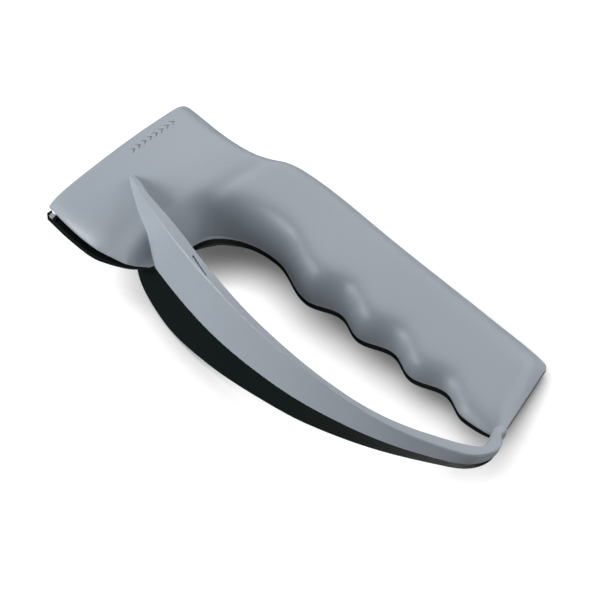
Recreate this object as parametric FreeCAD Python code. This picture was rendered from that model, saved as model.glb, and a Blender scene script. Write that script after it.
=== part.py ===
import FreeCAD, Part
import math
import os
from FreeCAD import Vector

# Hand-held pull-through knife sharpener: a wedge-shaped head with a cutting slot, a grip with finger
# grooves and a full hand guard.  Two mirror-image mouldings meet on the plane z = 0.
# X runs from the head to the butt end of the grip, Y from the slot edge to the palm edge, Z is up.
# All sizes are in millimetres.

# ---- mouldings ----
WALL = 2.2                   # wall thickness of both mouldings
BUTT_WALL = 7.0              # the thin butt end is solid over this length
GRID_STEP = 1.5              # spacing of the points that the rounded surfaces pass through
SKY = 30.0                   # taller than any part of the tool
LIP_RISE = 1.2               # quick roll of the surface just inside the slot edge
FRONT_SLANT = 0.08           # the front edge leans back by this much per mm of Y
FRONT_ROLL = 2.2             # width of the rounding along the front edge
BUTT_POINT = (147.1, 39.7)   # a point on the butt edge
BUTT_NORMAL = (0.924, 0.383)
BUTT_EDGE = {"upper": 0.8, "lower": 0.35}    # height of the butt edge
BUTT_ROLL = 6.0              # width of the rounding along the butt edge
LOWER_STEP = 1.6             # the lower moulding's front edge stands out by this much
PALM_ROLL = 10.0             # width of the rounding along the palm edge
PALM_POWER = 3.0
GROOVE_ROLL = {"upper": 12.0, "lower": 14.0}   # width of the rounding along the finger grooves
GROOVE_POWER = {"upper": 5.0, "lower": 2.0}    # the upper side is fuller than the belly

# ---- finger opening ----
ARCH_CENTRE = (56.0, 24.0)   # the head end of the opening is a quarter ellipse
ARCH_REACH = 18.3
ARCH_TOP = 36.0
WAVE_START = 57.0            # the first half wave leads from the arch to the first crest
WAVE_FIRST = 75.3            # first crest between two fingers
WAVE_PITCH = 20.6            # one finger
WAVE_LAST = WAVE_FIRST + 3 * WAVE_PITCH
WAVE_DEPTH = 1.5             # half of the groove depth

# ---- hand guard ----
GUARD_FOOT_IN = 2.4          # thickness at the parting plane, inward from the centre line
GUARD_BEVEL = 0.35
GUARD_SECTIONS = 40          # cross sections along the guard
KNOB_R = 1.5                 # the guard's butt end is rounded over this length
RIM_GROOVE = (55.5, 63.5)    # start and end of the fine tapered groove in the guard's top
RIM_GROOVE_WIDTH = (0.6, 0.3)
RIM_GROOVE_DEPTH = 0.4

# ---- slot and cutters ----
SLOT_HALF = 1.5              # half height of the slot
SLOT_DEPTH = 7.0
SLOT_STRAIGHT = 19.0         # the slot keeps its full height up to here, then closes
SLOT_END = 36.5
V_VERTEX = 3.6               # distance of the V's root behind the slot edge
V_ANGLE = 20.0               # each cutter leans this much from the slot plane
CUTTER_LENGTH = 10.6
CUTTER_WIDTH = 1.3
CUTTER_THICK = 1.6
CUTTER_FRONT = -0.1          # front face of the first cutter
CUTTER_MOUTH = 0.3
CUTTER_PLAY = 0.03
HOLDER_BOX = (0.2, 9.4, 6.0, 15.6, 3.0)    # x from, x to, y from, y to, half height
HOLDER_PLAY = 0.05

# ---- screws: x, y, underside of the head, length of the shank ----
HOLDER_SCREW = (6.4, 11.4, -4.0, 6.4)
SHELL_SCREWS = [
    (11.0, 42.0, -7.0, 14.0),
    (46.0, 46.5, -6.4, 15.0),
    (88.0, 47.0, -4.6, 11.5),
    (128.0, 48.0, -2.0, 5.2),
]
SCREW_R = 1.25
SCREW_HEAD_R = 2.4
SCREW_HEAD_H = 1.6
SCREW_CROSS = (2.8, 0.6, 0.8)              # length, width and depth of the cross recess
SCREW_PLAY = 0.03
BOSS_R = 4.2

# ---- row of small sunk chevrons on the head ----
MARK_COUNT = 8
MARK_FROM_FRONT = 6.0
MARK_START = 27.5
MARK_STEP = 2.2
MARK_SIZE = 2.4
MARK_LINE = 0.6
MARK_DEPTH = 0.2


def natural_spline(knots):
    """Return a smooth function through the given (position, value) knots."""
    xs = [k[0] for k in knots]
    ys = [k[1] for k in knots]
    n = len(xs)
    bend = [0.0] * n
    work = [0.0] * n
    for i in range(1, n - 1):
        share = (xs[i] - xs[i - 1]) / (xs[i + 1] - xs[i - 1])
        p = share * bend[i - 1] + 2.0
        bend[i] = (share - 1.0) / p
        rise = (ys[i + 1] - ys[i]) / (xs[i + 1] - xs[i]) - (ys[i] - ys[i - 1]) / (xs[i] - xs[i - 1])
        work[i] = (6.0 * rise / (xs[i + 1] - xs[i - 1]) - share * work[i - 1]) / p
    for i in range(n - 2, -1, -1):
        bend[i] = bend[i] * bend[i + 1] + work[i]

    def value(x):
        if x <= xs[0]:
            return ys[0]
        if x >= xs[-1]:
            return ys[-1]
        i = 0
        while x > xs[i + 1]:
            i += 1
        gap = xs[i + 1] - xs[i]
        a = (xs[i + 1] - x) / gap
        b = 1.0 - a
        cubic = (a ** 3 - a) * bend[i] + (b ** 3 - b) * bend[i + 1]
        return a * ys[i] + b * ys[i + 1] + cubic * gap * gap / 6.0

    return value


# Plan curves: Y of each edge along X.
slot_edge = natural_spline([(-4, 1.0), (6, 0.1), (16, -0.5), (23, 0.1), (29, 1.9), (34, 4.4), (38, 8.4),
                            (42, 9.0)])
palm_edge = natural_spline([(-8, 56.8), (6, 55.8), (22, 54.7), (30, 56.4), (37, 60.4), (45, 62.5),
                            (75, 63.0), (110, 63.2), (145, 62.4)])
groove_mean = natural_spline([(70, 32.7), (100, 33.8), (120, 34.2), (150, 34.2)])
guard_line = natural_spline([(8, 22.6), (18, 17.9), (27, 14.2), (34, 12.35), (45, 10.0), (56, 8.0),
                             (67, 6.55), (80, 5.8), (91, 5.95), (101, 6.6), (112, 8.25), (122, 10.6),
                             (131, 13.9), (139, 17.8), (145, 21.3)])

# Heights above the parting plane along X.
crown = {
    "upper": natural_spline([(-8, 12.0), (10, 13.5), (22, 15.0), (35, 14.6), (50, 13.2), (75, 11.2),
                             (100, 8.9), (125, 6.0), (150, 3.0)]),
    "lower": natural_spline([(-8, 9.0), (10, 10.5), (22, 12.0), (35, 11.5), (50, 9.6), (75, 8.0),
                             (100, 6.5), (125, 4.6), (150, 2.6)]),
}
edge_wall = {
    "upper": natural_spline([(-8, 3.0), (24, 3.0), (40, 1.8), (60, 1.7), (150, 1.7)]),
    "lower": natural_spline([(-8, 3.9), (6, 3.7), (16, 3.1), (24, 3.0), (40, 1.8), (60, 1.7), (150, 1.7)]),
}
groove_wall = {"upper": 0.5, "lower": 1.7}
slot_wall_loss = {
    "upper": natural_spline([(-8, 1.1), (14, 1.1), (23, 1.3), (30, 1.7), (36, 1.6), (42, 1.0)]),
    "lower": natural_spline([(18, 0.0), (23, 0.4), (30, 1.5), (36, 1.6), (42, 1.0)]),
}
slot_ease = {
    "upper": natural_spline([(-8, 38.0), (4, 32.0), (12, 28.0), (20, 24.5), (28, 20.0), (35, 14.0),
                             (41, 9.5), (48, 8.0)]),
    "lower": natural_spline([(-8, 46.0), (5, 38.0), (12, 28.0), (22, 18.0), (45, 16.0)]),
}
guard_ridge = natural_spline([(8, 6.8), (13, 11.0), (18, 14.1), (27, 16.3), (36, 17.1), (46, 17.1),
                              (58, 16.2), (71, 14.9), (84, 12.9), (100, 10.6), (116, 7.7), (132, 4.9),
                              (142, 3.6), (152, 2.9)])

# The lower moulding's guard starts lower on the head and is then a little taller and steeper.
guard_extra = {
    "upper": natural_spline([(8, 0.0), (152, 0.0)]),
    "lower": natural_spline([(8, -3.0), (13, -2.6), (18, 0.2), (23, 1.2), (32, 1.3), (45, 1.3), (62, 0.5),
                             (75, 0.0), (152, 0.0)]),
}

# Half thickness of the guard's flat top and thickness of its foot, outward from the centre line.
guard_top = natural_spline([(8, 0.7), (18, 0.85), (28, 1.2), (38, 1.55), (48, 1.65), (62, 1.45), (75, 1.25),
                            (90, 1.1), (110, 1.0), (122, 1.15), (133, 1.5), (142, 1.8), (152, 1.95)])
guard_foot_out = natural_spline([(8, 2.6), (50, 3.05), (92, 2.95), (108, 2.6), (120, 2.3), (134, 2.5),
                                 (144, 2.75), (152, 2.6)])


def groove_edge(x):
    """Y of the grip's edge on the finger side, right of the arch."""
    if x <= WAVE_START:
        return ARCH_TOP
    if x < WAVE_FIRST:
        low = groove_mean(WAVE_FIRST) - WAVE_DEPTH
        turn = math.cos(math.pi * (x - WAVE_START) / (WAVE_FIRST - WAVE_START))
        return 0.5 * (ARCH_TOP + low) + 0.5 * (ARCH_TOP - low) * turn
    if x < WAVE_LAST:
        return groove_mean(x) - WAVE_DEPTH * math.cos(2 * math.pi * (x - WAVE_FIRST) / WAVE_PITCH)
    return groove_mean(x) - WAVE_DEPTH + 0.012 * (x - WAVE_LAST) ** 2


def opening_distance(x, y):
    """Distance from the finger opening into the material."""
    u = max(ARCH_CENTRE[0] - x, 0.0)
    v = max(y - ARCH_CENTRE[1], 0.0)
    rise = groove_edge(x) - ARCH_CENTRE[1]
    q = math.hypot(u / ARCH_REACH, v / rise)
    if q < 0.05:
        return -rise
    slope = math.hypot(u / ARCH_REACH ** 2, v / rise ** 2) / q
    return (q - 1.0) / slope


def palm_distance(x, y):
    lean = (palm_edge(x + 0.5) - palm_edge(x - 0.5))
    return (palm_edge(x) - y) / math.hypot(1.0, lean)


def slot_distance(x, y):
    lean = (slot_edge(x + 0.5) - slot_edge(x - 0.5))
    return (y - slot_edge(x)) / math.hypot(1.0, lean)


def front_distance(x, y):
    return (x + FRONT_SLANT * y) / math.hypot(1.0, FRONT_SLANT)


def butt_distance(x, y):
    return -((x - BUTT_POINT[0]) * BUTT_NORMAL[0] + (y - BUTT_POINT[1]) * BUTT_NORMAL[1])


def roll(distance, width, power):
    """Share of the full height that is kept at this distance from an edge; keeps falling outside."""
    t = 1.0 - distance / width
    if t <= 0.0:
        return 1.0
    if t <= 1.0:
        return 1.0 - t ** power
    return -power * (t - 1.0)


def surface_height(x, y, inset, half):
    """Height of the outer surface (inset 0) or of the cavity roof (inset = wall thickness)."""
    to_slot = slot_distance(x, y)
    wall = edge_wall[half](x) - slot_wall_loss[half](x) * math.exp(-max(to_slot, 0.0) / 4.0)
    nearness = min(1.0, max(0.0, (52.0 - y) / 8.0)) * min(1.0, max(0.0, (x - 34.0) / 8.0))
    wall += (groove_wall[half] - wall) * nearness
    to_butt = butt_distance(x, y)
    wall += (BUTT_EDGE[half] - wall) * math.exp(-max(to_butt, 0.0) / 3.0)
    if inset > 0.0:
        wall = -1.5
    top = crown[half](x) - inset
    into_head = max(to_slot - inset, -2.0)
    lip = LIP_RISE * (1.0 - math.exp(-into_head / 2.0))
    t = into_head / slot_ease[half](x)
    ease = t / (1.0 + abs(t) ** 3) ** (1.0 / 3.0)
    body = lip + (top - wall - lip) * ease
    keep = roll(opening_distance(x, y) - inset, GROOVE_ROLL[half], GROOVE_POWER[half])
    keep_palm = roll(palm_distance(x, y) - inset, PALM_ROLL, PALM_POWER)
    keep_butt = roll(to_butt - inset, BUTT_ROLL, 2.4)
    share = min(keep, keep_palm, keep_butt)
    if share < 0.0:
        share = share / (1.0 - share)
    else:
        share = keep * keep_palm * keep_butt
    front = 0.7 + 0.3 * max(roll(front_distance(x, y) - inset, FRONT_ROLL, 2.0), -1.0)
    return wall + body * share * front


def guard_height(x, half):
    return guard_ridge(x) + guard_extra[half](x)


def flat(point):
    return Vector(point[0], point[1], 0.0)


def curve(points):
    line = Part.BSplineCurve()
    line.interpolate([flat(p) for p in points])
    return line.toShape()


def arc(start, middle, end):
    return Part.Arc(flat(start), flat(middle), flat(end)).toShape()


def straight(start, end):
    return Part.makeLine(flat(start), flat(end))


def outline_wire(step):
    """Closed plan outline of the head and the grip; the front edge is moved forward by the step."""
    slot = [(x, slot_edge(x)) for x in (-0.06 - step, 6, 11, 16, 20, 24, 28, 32, 35, 37.5)]
    corner = [slot[-1], (38.6, 11.0), (ARCH_CENTRE[0] - ARCH_REACH, 14.0)]
    arch = []
    for i in range(9):
        angle = math.radians(180.0 - 90.0 * i / 8)
        arch.append((ARCH_CENTRE[0] + ARCH_REACH * math.cos(angle),
                     ARCH_CENTRE[1] + (ARCH_TOP - ARCH_CENTRE[1]) * math.sin(angle)))
    grooves = [(x, groove_edge(x)) for x in [WAVE_START + 1.0 + 2.0 * i for i in range(45)]]
    groove_end = (148.3, 34.9)
    butt_low = (148.5, 36.3)
    butt_high = (138.5, 60.4)
    palm_stops = (137.0, 120, 95, 70, 55, 47, 42, 38, 34, 30, 26, 21, 16, 11, 6.0 - step)
    palm = [(x, palm_edge(x)) for x in palm_stops]
    front_high = (-FRONT_SLANT * 46.0 - step, 46.0)
    front_low = (-FRONT_SLANT * 1.4 - step, 1.4)
    edges = [
        curve(slot),
        curve(corner),
        straight(corner[-1], arch[0]),
        curve(arch + grooves),
        arc(grooves[-1], (147.5, 34.1), groove_end),
        straight(groove_end, butt_low),
        straight(butt_low, butt_high),
        arc(butt_high, (138.0, 61.9), palm[0]),
        curve(palm),
        arc(palm[-1], (-1.5 - step, 53.45), front_high),
        straight(front_high, front_low),
        straight(front_low, slot[0]),
    ]
    return Part.Wire(Part.__sortEdges__(edges))


def under_surface(inset, half):
    """Solid below the outer surface or below the cavity roof."""
    columns = int(round(168.0 / GRID_STEP))
    rows = int(round(78.0 / GRID_STEP))
    points = []
    for i in range(columns + 1):
        x = -10.0 + i * GRID_STEP
        ys = [-8.0 + j * GRID_STEP for j in range(rows + 1)]
        points.append([Vector(x, y, surface_height(x, y, inset, half)) for y in ys])
    surface = Part.BSplineSurface()
    surface.interpolate(points)
    return surface.toShape().extrude(Vector(0, 0, -SKY - 20.0))


def guard_path(half):
    """Centre line of the guard in plan: from inside the head, around the fingers, to the butt corner."""
    stops = (13, 18, 22.5, 27, 34, 40, 48, 57, 67, 78, 90, 101, 112, 123, 134, 142)
    points = [(x, guard_line(x)) for x in stops]
    if half == "upper":
        points += [(147.3, 22.6), (150.1, 24.8), (151.5, 27.7), (150.7, 30.8), (149.1, 33.8), (147.5, 36.7)]
    else:
        points += [(147.1, 22.7), (149.8, 25.3), (150.7, 28.1), (150.0, 31.0), (148.6, 33.8), (147.2, 36.4)]
    path = Part.BSplineCurve()
    path.interpolate([flat(p) for p in points])
    return path


def guard_section(place, along, share, half):
    """Six-sided half section of the guard, standing on the parting plane, at this share of its width."""
    side = Vector(-along.y, along.x, 0)
    past_corner = min(1.0, max(0.0, (place.y - 22.0) / 5.0))
    height = guard_height(place.x, half) - max(0.0, place.y - 26.0) * 0.05
    top = guard_top(place.x)
    top_out = top + 0.55 * max(0.0, guard_extra[half](place.x))
    if half == "lower":
        top_out -= 1.1 * past_corner
    foot_out = guard_foot_out(place.x) - 1.3 * past_corner
    foot_in = GUARD_FOOT_IN - 0.5 * past_corner
    bevel = GUARD_BEVEL
    bevel_in = GUARD_BEVEL + 0.55 * min(1.0, max(0.0, (place.y - 26.0) / 4.0))
    shape = [(-foot_out, 0.0), (-top_out, height - bevel), (-top_out + bevel, height),
             (top - bevel_in, height), (top, height - bevel_in), (foot_in, 0.0)]
    corners = [place + side * (s * share) + Vector(0, 0, z) for s, z in shape]
    return Part.makePolygon(corners + [corners[0]])


def guard_half(half):
    path = guard_path(half)
    full = path.length() - KNOB_R
    stations = [(full * i / GUARD_SECTIONS, 1.0) for i in range(GUARD_SECTIONS + 1)]
    for degrees in (20, 40, 60, 75):
        turn = math.radians(degrees)
        stations.append((full + KNOB_R * math.sin(turn), math.cos(turn)))
    sections = []
    for distance, share in stations:
        t = path.parameterAtDistance(distance, path.FirstParameter)
        sections.append(guard_section(path.value(t), path.tangent(t)[0], share, half))
    band = Part.makeLoft(sections[:GUARD_SECTIONS + 1], True, False)
    return band.fuse(Part.makeLoft(sections[GUARD_SECTIONS:], True, True))


def rim_groove():
    """Fine groove in the flat top of the guard."""
    start, stop = RIM_GROOVE
    wires = []
    for i in range(6):
        share = i / 5
        x = start + (stop - start) * share
        y = guard_line(x) - 0.1 - 0.6 * share
        z = guard_ridge(x) - RIM_GROOVE_DEPTH
        half = 0.5 * (RIM_GROOVE_WIDTH[0] * (1.0 - share) + RIM_GROOVE_WIDTH[1] * share)
        corners = [Vector(x, y - half, z), Vector(x, y + half, z),
                   Vector(x, y + half, z + 3.0), Vector(x, y - half, z + 3.0)]
        wires.append(Part.makePolygon(corners + [corners[0]]))
    return Part.makeLoft(wires, True, False)


def slot_cut():
    """Wedge of space that the blade runs through; it closes towards the guard."""
    profile = [Vector(-8, 0, -SLOT_HALF), Vector(SLOT_STRAIGHT, 0, -SLOT_HALF), Vector(SLOT_END, 0, -0.05),
               Vector(SLOT_END, 0, 0.05), Vector(SLOT_STRAIGHT, 0, SLOT_HALF), Vector(-8, 0, SLOT_HALF)]
    face = Part.Face(Part.makePolygon(profile + [profile[0]]))
    face.translate(Vector(0, -6, 0))
    return face.extrude(Vector(0, 6 + SLOT_DEPTH, 0))


def box(x0, x1, y0, y1, z0, z1):
    return Part.makeBox(x1 - x0, y1 - y0, z1 - z0, Vector(x0, y0, z0))


def cutter(side, play):
    """One carbide bar of the V; side is +1 for the upper cutter and -1 for the lower one."""
    x0 = CUTTER_FRONT if side < 0 else CUTTER_FRONT + CUTTER_THICK + 0.02
    bar = box(x0 - play, x0 + CUTTER_THICK + play, -play, CUTTER_LENGTH + play, -play, CUTTER_WIDTH + play)
    reach = (V_VERTEX - CUTTER_MOUTH) / math.cos(math.radians(V_ANGLE))
    bar.translate(Vector(0, -reach, 0))
    bar.rotate(Vector(0, 0, 0), Vector(1, 0, 0), -V_ANGLE)
    bar.translate(Vector(0, V_VERTEX, 0))
    if side < 0:
        bar = bar.mirror(Vector(0, 0, 0), Vector(0, 0, 1))
    return bar


def cutters(play):
    return cutter(1, play).fuse(cutter(-1, play))


def holder_block(play):
    x0, x1, y0, y1, half = HOLDER_BOX
    return box(x0 - play, x1 + play, y0 - play, y1 + play, -half - play, half + play)


def cylinder(radius, x, y, z0, z1):
    return Part.makeCylinder(radius, z1 - z0, Vector(x, y, z0))


def screw(x, y, under_head, shank):
    """Pan-head screw driven up from below."""
    low = under_head - SCREW_HEAD_H
    body = cylinder(SCREW_HEAD_R, x, y, low, under_head)
    rim = [e for e in body.Edges if e.BoundBox.ZMax < low + 0.01]
    body = body.makeFillet(0.6, rim)
    body = body.fuse(cylinder(SCREW_R, x, y, under_head - 0.1, under_head + shank - 1.0))
    body = body.fuse(Part.makeCone(SCREW_R, 0.4, 1.0, Vector(x, y, under_head + shank - 1.0)))
    length, width, depth = SCREW_CROSS
    for dx, dy in ((length, width), (width, length)):
        body = body.cut(box(x - dx / 2, x + dx / 2, y - dy / 2, y + dy / 2, low - 1.0, low + depth))
    return body


def screw_hole(x, y, under_head, shank):
    """Space for a screw: counterbore for the head and a hole for the shank."""
    hole = cylinder(SCREW_R + SCREW_PLAY, x, y, under_head - 1.0, under_head + shank + 0.5)
    return hole.fuse(cylinder(SCREW_HEAD_R + 0.25, x, y, -SKY, under_head))


def cavity(half):
    """Hollow of one moulding, less the screw bosses, the ribs and the block round the cutters."""
    corners = []
    for y in (-10.0, 75.0):
        butt_x = BUTT_POINT[0] - ((y - BUTT_POINT[1]) * BUTT_NORMAL[1] + BUTT_WALL) / BUTT_NORMAL[0]
        corners.append((Vector(WALL - FRONT_SLANT * y, y, 0), Vector(butt_x, y, 0)))
    border = [corners[0][0], corners[0][1], corners[1][1], corners[1][0], corners[0][0]]
    limits = Part.Face(Part.makePolygon(border)).extrude(Vector(0, 0, SKY))
    hollow = under_surface(WALL, half).common(limits)
    for x, y, under_head, shank in SHELL_SCREWS:
        hollow = hollow.cut(cylinder(BOSS_R, x, y, -1, SKY))
    hollow = hollow.cut(box(-12, 12.5, -10, 18.6, -1, SKY))
    for x in (30.0, 67.0, 108.0):
        hollow = hollow.cut(box(x, x + 1.6, -10, 75, -1, SKY))
    return hollow


def marks():
    """Row of small chevrons sunk into the head beside the front edge."""
    shapes = []
    for i in range(MARK_COUNT):
        y = MARK_START + i * MARK_STEP
        x = MARK_FROM_FRONT - FRONT_SLANT * y
        half = MARK_SIZE / 2
        points = [(-half, 0), (0, half), (half, 0),
                  (half, -MARK_LINE), (0, half - MARK_LINE), (-half, -MARK_LINE)]
        z = surface_height(x, y, 0.0, "upper") - MARK_DEPTH
        corners = [Vector(x + px, y + py, z) for px, py in points]
        shapes.append(Part.Face(Part.makePolygon(corners + [corners[0]])).extrude(Vector(0, 0, 3)))
    return shapes


def half_moulding(half):
    """One moulding, built above the parting plane, with the slot and the seat of the cutters."""
    step = LOWER_STEP if half == "lower" else 0.0
    prism = Part.Face(outline_wire(step)).extrude(Vector(0, 0, SKY))
    body = prism.common(under_surface(0.0, half))
    shell = body.cut(cavity(half))
    shell = shell.fuse(guard_half(half))
    for tool in (slot_cut(), cutters(CUTTER_PLAY), holder_block(HOLDER_PLAY)):
        shell = shell.cut(tool)
    return shell


def main():
    os.makedirs("parts", exist_ok=True)
    upper = half_moulding("upper").cut(rim_groove())
    for mark in marks():
        upper = upper.cut(mark)
    lower = half_moulding("lower").mirror(Vector(0, 0, 0), Vector(0, 0, 1))
    holder = holder_block(0.0).cut(cutters(CUTTER_PLAY))
    hole = screw_hole(*HOLDER_SCREW)
    lower = lower.cut(hole)
    holder = holder.cut(hole)
    nodes = {}
    nodes["cutter_upper"] = cutter(1, 0.0)
    nodes["cutter_lower"] = cutter(-1, 0.0)
    nodes["holder_screw"] = screw(*HOLDER_SCREW)
    for number, place in enumerate(SHELL_SCREWS, 1):
        hole = screw_hole(*place)
        lower = lower.cut(hole)
        upper = upper.cut(hole)
        nodes["shell_screw_%d" % number] = screw(*place)
    nodes["upper_shell"] = upper
    nodes["lower_shell"] = lower
    nodes["cutter_holder"] = holder
    for name in sorted(nodes):
        nodes[name].exportStep("parts/%s.step" % name)


main()
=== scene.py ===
import math

import bpy
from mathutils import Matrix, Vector

# Looks of the hand-held pull-through knife sharpener.  Metres, in the CAD frame: X runs from the head
# to the butt end, Y from the slot edge to the palm edge and Z up, square to the parting plane.

MM = 0.001

# ---- camera ----
CAMERA_AZIMUTH = 49.5          # degrees from -Y towards +X
CAMERA_ELEVATION = 42.0
CAMERA_DISTANCE = 0.850
CAMERA_LENS = 186.6
CAMERA_NEAR = 0.05
CAMERA_FAR = 20.0
CAMERA_TARGET = Vector((74.05, 30.23, 0.0)) * MM

# ---- floor: a glowing white table with a painted contact shadow; the tool lies on its guard rim, its belly and the palm side ----
FLOOR_SIZE = 3.0
FLOOR_NORMAL = Vector((-0.062, -0.189, 0.980)).normalized()
FLOOR_GLOW = 1.0               # glow of the open table
SHADOW_GLOW = 0.10             # glow of the painted contact shadow, where the tool touches it
SHADOW_REACH = 14.0 * MM       # width of the painted contact shadow
SHADOW_OPENNESS = (0.25, 0.85)  # share of open sky where the painted shadow is full and where it ends
SHADOW_SAMPLES = 16

# ---- lights: name, direction (right, toward the viewer, up) as seen by the camera, size, power ----
LIGHT_DISTANCE = 1.2
LIGHTS = [
    ("left", (-1.0, 0.1, 0.35), 0.7, 8.0),
    ("low_left", (-1.0, 0.0, 0.15), 0.8, 10.0),
    ("top", (0.0, 0.0, 1.0), 0.9, 2.4),
    ("back", (0.0, -0.9, 0.6), 0.8, 3.2),
    ("back_right", (0.65, -0.6, 0.6), 0.8, 5.0),
    ("right", (0.9, 0.0, 0.6), 0.8, 7.3),
    ("low_right", (1.0, 0.0, 0.25), 0.8, 1.5),
    ("below", (0.0, 0.3, -1.0), 0.9, 12.0),
]
SKY_LIGHT = 0.079              # strength of the even light from above
BACKDROP = 1.0                 # strength of the white that the camera sees
HORIZON = 0.1                  # half height of the band where the sky light fades out

# ---- colours, linear ----
GREY = (0.328, 0.365, 0.411)
BLACK = (0.0058, 0.0092, 0.0088)
HOLDER_BLACK = (0.010, 0.010, 0.011)
CARBIDE = (0.66, 0.68, 0.71)
ZINC = (0.58, 0.58, 0.60)
WHITE_FLOOR = (0.20, 0.20, 0.20)

# ---- surface detail: noise cells per metre and depth of relief ----
GRAIN_SCALE = 2600.0           # spark-eroded grain of the moulds
GRAIN_DEPTH = 0.04 * MM
PORE_SCALE = 900.0
PORE_DEPTH = 0.08 * MM
CLOUD_SCALE = 28.0             # flow clouds in the plastic
LINE_SCALE = 1800.0            # grinding and drawing lines
LINE_DEPTH = 0.03 * MM
PATCH_SCALE = 350.0            # dull patches on the metal
FLECK_SCALE = 90.0             # flecks in the table's white
ALONG_Y = (1.0, 0.08, 1.0)     # density of lines that run along Y, the length of the cutters
ALONG_Z = (1.0, 1.0, 0.1)      # density of lines that run along Z, the axis of the screws
CREASE_ANGLE = 32.0            # degrees; sharper edges stay crisp

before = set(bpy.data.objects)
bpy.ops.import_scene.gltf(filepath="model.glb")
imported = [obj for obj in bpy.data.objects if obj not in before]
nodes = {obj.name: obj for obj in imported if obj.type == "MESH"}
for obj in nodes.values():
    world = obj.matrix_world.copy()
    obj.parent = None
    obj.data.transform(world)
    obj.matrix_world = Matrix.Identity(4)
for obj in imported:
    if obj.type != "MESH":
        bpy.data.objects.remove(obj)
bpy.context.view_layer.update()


class Nodes:
    """Small helper for building a node material."""

    def __init__(self, name):
        self.material = bpy.data.materials.new(name)
        self.material.use_nodes = True
        self.tree = self.material.node_tree
        self.shader = self.tree.nodes["Principled BSDF"]
        self.place = self.add("ShaderNodeTexCoord").outputs["Object"]

    def add(self, kind, **values):
        node = self.tree.nodes.new(kind)
        for key, value in values.items():
            if hasattr(node, key):
                setattr(node, key, value)
            else:
                node.inputs[key.replace("_", " ")].default_value = value
        return node

    def link(self, out, into):
        self.tree.links.new(out, into)

    def noise(self, scale, detail=3.0, rough=0.55, source=None):
        node = self.add("ShaderNodeTexNoise", Scale=scale, Detail=detail, Roughness=rough)
        self.link(source or self.place, node.inputs["Vector"])
        return node.outputs["Fac"]

    def spread(self, value, low, high, from_low=0.3, from_high=0.7):
        """Map a value from the range from_low..from_high to low..high."""
        node = self.add("ShaderNodeMapRange")
        limits = (("From Min", from_low), ("From Max", from_high), ("To Min", low), ("To Max", high))
        for socket, number in limits:
            node.inputs[socket].default_value = number
        self.link(value, node.inputs["Value"])
        return node.outputs["Result"]

    def mix(self, share, first, second):
        """Mix two colours; share, first and second may be sockets or plain values."""
        node = self.add("ShaderNodeMix", data_type="RGBA")
        for socket, value in ((node.inputs[0], share), (node.inputs[6], first), (node.inputs[7], second)):
            if isinstance(value, bpy.types.NodeSocket):
                self.link(value, socket)
            elif isinstance(value, tuple):
                socket.default_value = (*value, 1.0)
            else:
                socket.default_value = value
        return node.outputs[2]

    def bump(self, value, distance, strength, under=None):
        node = self.add("ShaderNodeBump", Distance=distance, Strength=strength)
        self.link(value, node.inputs["Height"])
        if under is not None:
            self.link(under, node.inputs["Normal"])
        return node.outputs["Normal"]

    def finish(self, color=None, rough=None, normal=None, **constants):
        for socket, value in (("Base Color", color), ("Roughness", rough), ("Normal", normal)):
            if value is not None:
                self.link(value, self.shader.inputs[socket])
        for key, value in constants.items():
            self.shader.inputs[key.replace("_", " ")].default_value = value
        return self.material


def shade(color, factor):
    return tuple(c * factor for c in color)


def moulded_plastic(name, color, contrast, gloss, specular):
    """Satin injection-moulded plastic: fine spark-eroded grain, faint flow clouds and changing gloss."""
    n = Nodes(name)
    grain = n.noise(GRAIN_SCALE, 2.0, 0.6)
    pores = n.noise(PORE_SCALE, 3.0, 0.5)
    clouds = n.noise(CLOUD_SCALE, 3.0, 0.5)
    tone = n.mix(n.spread(clouds, 0.0, 1.0), shade(color, 1.0 - contrast), shade(color, 1.0 + contrast))
    tone = n.mix(n.spread(grain, 0.0, 0.5, 0.25, 0.75), tone, shade(color, 1.0 + 1.5 * contrast))
    rough = n.spread(pores, gloss - 0.05, gloss + 0.06)
    fine = n.bump(grain, GRAIN_DEPTH, 0.35)
    normal = n.bump(pores, PORE_DEPTH, 0.22, fine)
    return n.finish(tone, rough, normal, Specular_IOR_Level=specular)


def ground_metal(name, color, rough, density, metallic):
    """Ground or drawn metal with fine lines; density is that of the lines along X, Y and Z."""
    n = Nodes(name)
    stretch = n.add("ShaderNodeMapping")
    stretch.inputs["Scale"].default_value = density
    n.link(n.place, stretch.inputs["Vector"])
    lines = n.noise(LINE_SCALE, 3.0, 0.6, stretch.outputs["Vector"])
    patches = n.noise(PATCH_SCALE, 2.0, 0.5)
    tone = n.mix(n.spread(lines, 0.0, 1.0), shade(color, 0.82), shade(color, 1.12))
    tone = n.mix(n.spread(patches, 0.0, 0.35), tone, shade(color, 0.7))
    gloss = n.spread(lines, rough - 0.06, rough + 0.1)
    normal = n.bump(lines, LINE_DEPTH, 0.4)
    return n.finish(tone, gloss, normal, Metallic=metallic)


def paint(names, material):
    """Give the named CAD nodes a material, with smooth faces between their sharp edges."""
    for name in names:
        mesh = nodes[name].data
        mesh.materials.clear()
        mesh.materials.append(material)
        mesh.shade_smooth()
        nodes[name].modifiers.new("edges", "EDGE_SPLIT").split_angle = math.radians(CREASE_ANGLE)


def lowest_reach(normal):
    """Distance along the normal of the part's lowest point."""
    places = (node.matrix_world @ vertex.co for node in nodes.values() for vertex in node.data.vertices)
    return min(normal.dot(place) for place in places)


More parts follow.
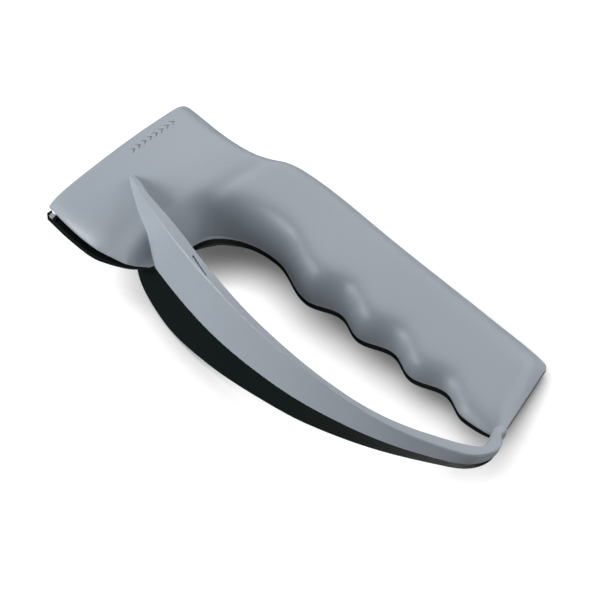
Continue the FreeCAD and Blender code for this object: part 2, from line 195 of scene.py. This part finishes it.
def table_material():
    """Glowing white table, darker near the tool by a painted contact shadow from ambient occlusion; clear
    when seen from underneath.
    """
    n = Nodes("white_table_painted_shadow")
    fleck = n.noise(FLECK_SCALE)
    tone = n.mix(n.spread(fleck, 0.0, 1.0), WHITE_FLOOR, shade(WHITE_FLOOR, 0.99))
    # painted contact shadow: ambient occlusion near the tool dims the table's glow
    painted_shadow_cover = n.add("ShaderNodeAmbientOcclusion", samples=SHADOW_SAMPLES, Distance=SHADOW_REACH)
    glow_and_painted_shadow = n.spread(painted_shadow_cover.outputs["AO"], SHADOW_GLOW, FLOOR_GLOW, *SHADOW_OPENNESS)
    n.link(glow_and_painted_shadow, n.shader.inputs["Emission Strength"])
    n.shader.inputs["Emission Color"].default_value = (1.0, 1.0, 1.0, 1.0)
    side = n.add("ShaderNodeNewGeometry")
    clear = n.add("ShaderNodeBsdfTransparent")
    choose = n.add("ShaderNodeMixShader")
    n.link(side.outputs["Backfacing"], choose.inputs[0])
    n.link(n.shader.outputs["BSDF"], choose.inputs[1])
    n.link(clear.outputs["BSDF"], choose.inputs[2])
    n.link(choose.outputs["Shader"], n.tree.nodes["Material Output"].inputs["Surface"])
    return n.finish(tone, Roughness=0.9, Specular_IOR_Level=0.1)


def add_floor():
    """Table under the tool's lowest points; only the camera sees it, so it lights and darkens nothing."""
    half = FLOOR_SIZE / 2
    mesh = bpy.data.meshes.new("floor")
    corners = [(-half, -half, 0), (half, -half, 0), (half, half, 0), (-half, half, 0)]
    mesh.from_pydata(corners, [], [(0, 1, 2, 3)])
    mesh.materials.append(table_material())
    floor = bpy.data.objects.new("floor", mesh)
    bpy.context.scene.collection.objects.link(floor)
    rise = lowest_reach(FLOOR_NORMAL) - FLOOR_NORMAL.dot(CAMERA_TARGET)
    floor.location = CAMERA_TARGET + FLOOR_NORMAL * rise
    floor.rotation_euler = FLOOR_NORMAL.to_track_quat("Z", "Y").to_euler()
    floor.visible_diffuse = False
    floor.visible_glossy = False
    floor.visible_shadow = False


def view_axes():
    """Unit vectors from the target towards the camera and towards the picture's right side."""
    azimuth = math.radians(CAMERA_AZIMUTH)
    elevation = math.radians(CAMERA_ELEVATION)
    toward = Vector((math.sin(azimuth) * math.cos(elevation), -math.cos(azimuth) * math.cos(elevation),
                     math.sin(elevation)))
    right = Vector((math.cos(azimuth), math.sin(azimuth), 0.0))
    return toward, right


def aim(thing, place, target):
    """Put a camera or light at a place, facing the target."""
    thing.location = place
    thing.rotation_euler = (target - place).to_track_quat("-Z", "Y").to_euler()


def add_camera():
    camera = bpy.data.objects.new("camera", bpy.data.cameras.new("camera"))
    bpy.context.scene.collection.objects.link(camera)
    camera.data.lens = CAMERA_LENS
    camera.data.clip_start = CAMERA_NEAR
    camera.data.clip_end = CAMERA_FAR
    toward, _ = view_axes()
    aim(camera, CAMERA_TARGET + toward * CAMERA_DISTANCE, CAMERA_TARGET)
    bpy.context.scene.camera = camera


def add_light(name, direction, size, power):
    """Round soft light in the given direction from the tool."""
    toward, right = view_axes()
    flat = Vector((toward.x, toward.y, 0.0)).normalized()
    way = right * direction[0] + flat * direction[1] + Vector((0, 0, direction[2]))
    place = CAMERA_TARGET + way * LIGHT_DISTANCE
    light = bpy.data.objects.new(name, bpy.data.lights.new(name, "AREA"))
    bpy.context.scene.collection.objects.link(light)
    light.data.shape = "DISK"
    light.data.size = size
    light.data.energy = power
    aim(light, place, CAMERA_TARGET)


def add_world(above, backdrop):
    """Even studio light from above the horizon; the camera itself sees a white backdrop."""
    world = bpy.data.worlds.new("studio")
    bpy.context.scene.world = world
    world.use_nodes = True
    tree = world.node_tree
    place = tree.nodes.new("ShaderNodeTexCoord")
    split = tree.nodes.new("ShaderNodeSeparateXYZ")
    sky = tree.nodes.new("ShaderNodeMapRange")
    limits = (("From Min", -HORIZON), ("From Max", HORIZON), ("To Min", 0.0), ("To Max", above))
    for socket, number in limits:
        sky.inputs[socket].default_value = number
    path = tree.nodes.new("ShaderNodeLightPath")
    choose = tree.nodes.new("ShaderNodeMix")
    choose.inputs["B"].default_value = backdrop
    tree.links.new(place.outputs["Generated"], split.inputs["Vector"])
    tree.links.new(split.outputs["Z"], sky.inputs["Value"])
    tree.links.new(path.outputs["Is Camera Ray"], choose.inputs["Factor"])
    tree.links.new(sky.outputs["Result"], choose.inputs["A"])
    tree.links.new(choose.outputs["Result"], tree.nodes["Background"].inputs["Strength"])
    tree.nodes["Background"].inputs["Color"].default_value = (1.0, 1.0, 1.0, 1.0)


paint(["upper_shell"], moulded_plastic("grey_plastic", GREY, contrast=0.015, gloss=0.43, specular=0.40))
paint(["lower_shell"], moulded_plastic("black_plastic", BLACK, contrast=0.10, gloss=0.50, specular=0.04))
paint(["cutter_holder"],
      moulded_plastic("holder_plastic", HOLDER_BLACK, contrast=0.10, gloss=0.6, specular=0.2))
paint(["cutter_upper", "cutter_lower"],
      ground_metal("carbide", CARBIDE, rough=0.35, density=ALONG_Y, metallic=0.5))
paint([name for name in sorted(nodes) if "screw" in name],
      ground_metal("zinc", ZINC, rough=0.32, density=ALONG_Z, metallic=0.85))

add_floor()
add_camera()
for light in LIGHTS:
    add_light(*light)
add_world(SKY_LIGHT, BACKDROP)
bpy.context.scene.view_settings.view_transform = "Standard"
